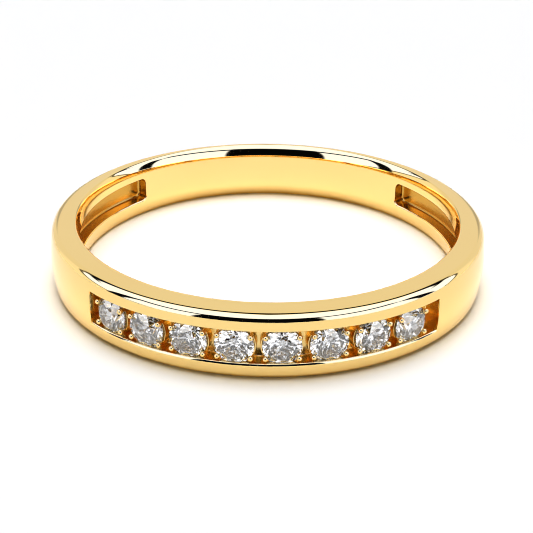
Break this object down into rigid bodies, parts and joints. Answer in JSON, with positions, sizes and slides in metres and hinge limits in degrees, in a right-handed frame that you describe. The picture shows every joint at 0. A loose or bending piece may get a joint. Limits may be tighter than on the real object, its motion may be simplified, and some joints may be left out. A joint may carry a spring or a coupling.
{
  "type": "half-eternity ring",
  "caption": "Polished yellow gold band with a recessed channel of round brilliant stones across its front, each held by beaded claws over a collet; hollowed shoulders inside.",
  "frame": {"origin": "centre of the band's outer circle, on the surface that the ring lies on", "axes": "+Z along the finger hole, -Y towards the middle of the stone channel, +X to the right of someone facing the stones"},
  "size_m": [0.0198, 0.0198, 0.0028],
  "materials": {
    "gold": "polished yellow gold",
    "diamond": "clear cut stone"
  },
  "bodies": {
    "root": {"band": "gold", "stone_1": "diamond", "stone_2": "diamond", "stone_3": "diamond", "stone_4": "diamond", "stone_5": "diamond", "stone_6": "diamond", "stone_7": "diamond", "stone_8": "diamond"}
  },
  "joints": []
}
